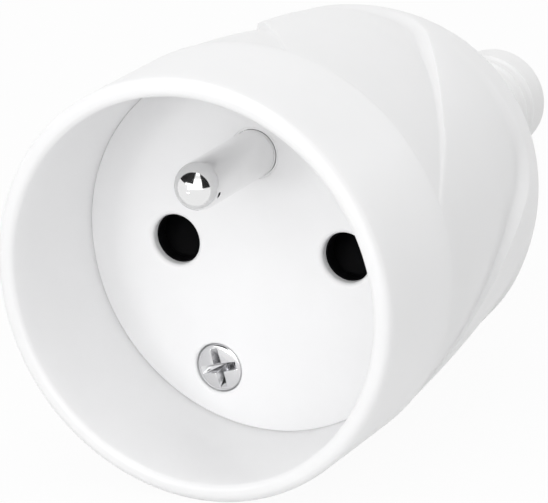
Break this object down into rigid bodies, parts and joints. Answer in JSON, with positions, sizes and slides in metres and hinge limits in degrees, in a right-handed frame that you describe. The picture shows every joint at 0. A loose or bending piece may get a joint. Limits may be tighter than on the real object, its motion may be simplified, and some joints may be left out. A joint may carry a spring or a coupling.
{
  "type": "trailing socket",
  "caption": "White in-line power socket with a round plug recess, earth pin, shuttered apertures, a twisted ribbed grip and a ribbed cable sleeve",
  "frame": {"origin": "the centre of the contact face, on the socket's axis", "axes": "+Y runs into the socket along its axis to the cable sleeve, +Z points from the axis to the earth pin, +X points to the live contact"},
  "size_m": [0.043, 0.074, 0.043],
  "materials": {
    "white_shell": "gloss white moulding",
    "white_face": "satin white moulding",
    "white_sleeve": "soft white flexible moulding",
    "ivory_moulding": "satin ivory moulding",
    "black_moulding": "matt black moulding",
    "brass": "stamped and turned brass",
    "nickel": "bright nickel plating",
    "zinc_steel": "bright zinc plating",
    "spring_steel": "bare spring steel"
  },
  "bodies": {
    "socket": {"housing": "white_shell", "face_plate": "white_face", "contact_carrier": "ivory_moulding", "live_contact": "brass", "neutral_contact": "brass", "contact_springs": "spring_steel", "live_terminal": "brass", "neutral_terminal": "brass", "earth_terminal": "brass", "terminal_screws": "zinc_steel", "earth_pin": "nickel", "shutter_spring": "spring_steel", "cover_screw": "zinc_steel", "cover_insert": "brass", "carrier_screws": "zinc_steel", "clamp_bar": "ivory_moulding", "clamp_screws": "zinc_steel", "cable_sleeve": "white_sleeve"},
    "shutter": {"shutter": "black_moulding"}
  },
  "joints": [
    {"name": "shutter_slide", "type": "slide", "parent": "socket", "child": "shutter", "axis": [0, 0, -1], "range_m": [0, 0.0062], "stiffness_N_per_m": 80, "springref_m": -0.004, "deforming": ["shutter_spring"]}
  ]
}
